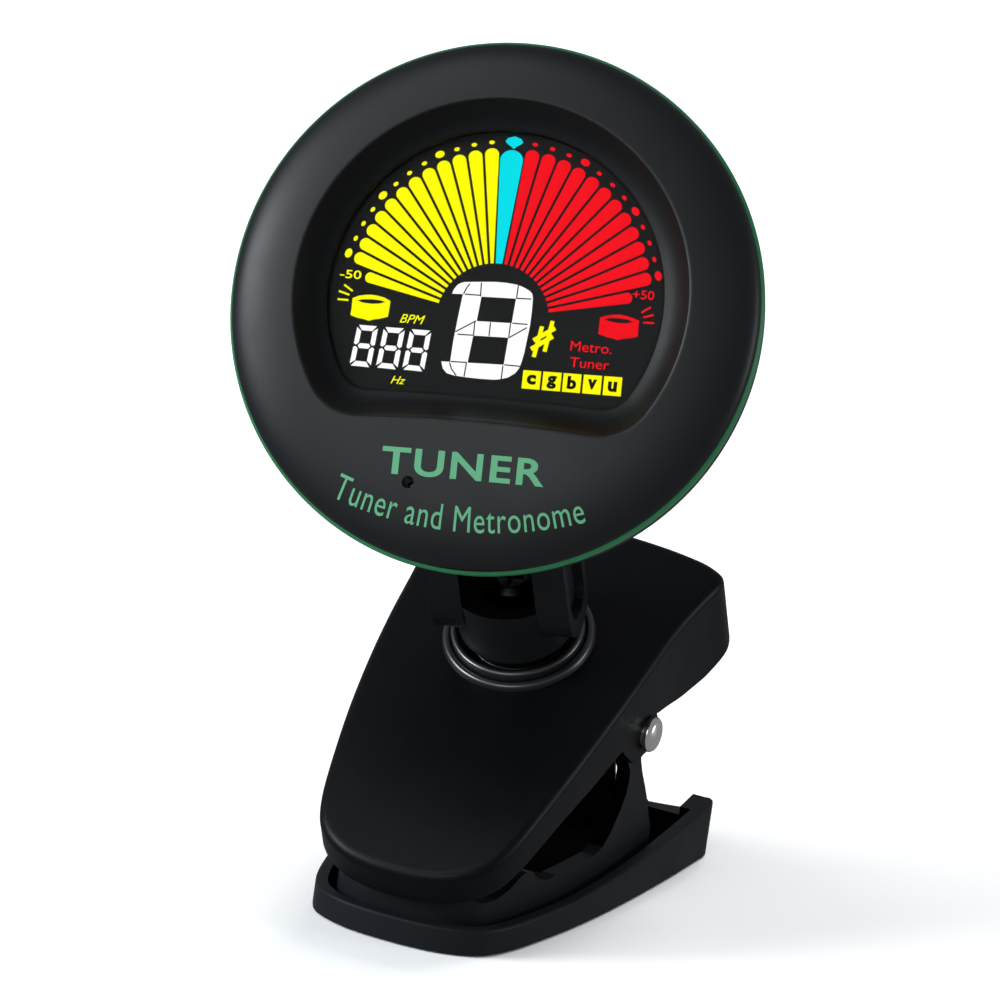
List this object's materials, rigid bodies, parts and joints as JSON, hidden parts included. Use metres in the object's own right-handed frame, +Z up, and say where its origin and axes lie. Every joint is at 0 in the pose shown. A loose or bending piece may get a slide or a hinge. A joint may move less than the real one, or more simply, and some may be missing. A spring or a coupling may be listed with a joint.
{
  "type": "clip-on instrument tuner",
  "caption": "Clip-on tuner: a round display head on a forked yoke that tilts and swivels on a spring clip with padded jaws, with a rear battery door and buttons.",
  "frame": {"origin": "on the lower jaw's flat underside, straight below the clip's pivot pin", "axes": "+Z up from the underside, -Y towards the jaws' tips, +X to the right of someone facing the display, along the pivot pin"},
  "size_m": [0.0545, 0.0539, 0.09],
  "materials": {
    "black_plastic": "moulded black ABS, soft gloss",
    "satin_case": "black plastic with a satin coat",
    "green_rim": "green moulded plastic, satin gloss",
    "soft_rubber": "soft black rubber, matte",
    "button_rubber": "firm black rubber, matte",
    "nickel_steel": "nickel-plated steel, polished",
    "spring_steel": "drawn spring wire",
    "screw_steel": "dark zinc-plated steel",
    "window_lens": "smoked clear acrylic, polished",
    "display_panel": "black liquid crystal panel with lit segments",
    "white_diffuser": "milky white plastic",
    "circuit_laminate": "green solder-mask laminate",
    "brass_strip": "brass strip and disc",
    "cell_steel": "bright stainless steel",
    "switch_plastic": "black moulded plastic"
  },
  "bodies": {
    "lower_jaw_body": {"lower_jaw": "black_plastic", "lower_pad": "soft_rubber", "pivot_pin": "nickel_steel", "pin_retainer": "nickel_steel", "torsion_spring": "spring_steel"},
    "upper_jaw_body": {"upper_jaw": "black_plastic", "swivel_collar": "black_plastic", "friction_washer": "nickel_steel", "upper_pad": "soft_rubber"},
    "yoke_body": {"yoke": "black_plastic", "swivel_screw": "screw_steel", "swivel_washer": "nickel_steel", "swivel_nut": "nickel_steel", "tilt_screw": "screw_steel", "tilt_nut": "nickel_steel", "tilt_washer_right": "nickel_steel", "tilt_washer_left": "nickel_steel"},
    "head_body": {"front_bezel": "satin_case", "trim_ring": "green_rim", "rear_cover": "satin_case", "display_lens": "window_lens", "lcd_panel": "display_panel", "light_guide": "white_diffuser", "zebra_strip": "soft_rubber", "circuit_board": "circuit_laminate", "microphone": "cell_steel", "piezo_pickup": "brass_strip", "piezo_buzzer": "switch_plastic", "coin_cell": "cell_steel", "battery_contact_negative": "brass_strip", "battery_contact_positive": "brass_strip", "switch_1": "switch_plastic", "switch_2": "switch_plastic", "switch_3": "switch_plastic", "switch_4": "switch_plastic", "case_screw_1": "screw_steel", "case_screw_2": "screw_steel", "case_screw_3": "screw_steel", "case_screw_4": "screw_steel"},
    "battery_door_body": {"battery_door": "satin_case"},
    "power_button_body": {"power_button": "button_rubber"},
    "mode_button_body": {"mode_button": "button_rubber"},
    "up_button_body": {"up_button": "button_rubber"},
    "down_button_body": {"down_button": "button_rubber"}
  },
  "joints": [
    {"name": "jaw_hinge", "type": "hinge", "parent": "lower_jaw_body", "child": "upper_jaw_body", "pos_m": [0, 0, 0.0187], "axis": [-1, 0, 0], "range_deg": [0, 30], "stiffness_Nm_per_rad": 0.22, "springref_deg": -34.38, "deforming": ["torsion_spring"]},
    {"name": "swivel", "type": "hinge", "parent": "upper_jaw_body", "child": "yoke_body", "pos_m": [0, -0.00265, 0.02607], "axis": [0, -0.5265, 0.8502], "continuous": true},
    {"name": "tilt", "type": "hinge", "parent": "yoke_body", "child": "head_body", "pos_m": [0.00042, -0.01487, 0.04206], "axis": [0.9781, 0.1768, 0.1095], "range_deg": [-60, 45]},
    {"name": "battery_door_slide", "type": "slide", "parent": "head_body", "child": "battery_door_body", "axis": [-0.1737, 0.405, 0.8977], "range_m": [0, 0.013]},
    {"name": "power_button_press", "type": "slide", "parent": "head_body", "child": "power_button_body", "axis": [0.1143, -0.897, 0.4269], "range_m": [0, 0.0005], "stiffness_N_per_m": 600, "springref_m": -0.0008},
    {"name": "mode_button_press", "type": "slide", "parent": "head_body", "child": "mode_button_body", "axis": [0.1143, -0.897, 0.4269], "range_m": [0, 0.0005], "stiffness_N_per_m": 600, "springref_m": -0.0008},
    {"name": "up_button_press", "type": "slide", "parent": "head_body", "child": "up_button_body", "axis": [0.1143, -0.897, 0.4269], "range_m": [0, 0.0005], "stiffness_N_per_m": 600, "springref_m": -0.0008},
    {"name": "down_button_press", "type": "slide", "parent": "head_body", "child": "down_button_body", "axis": [0.1143, -0.897, 0.4269], "range_m": [0, 0.0005], "stiffness_N_per_m": 600, "springref_m": -0.0008}
  ]
}
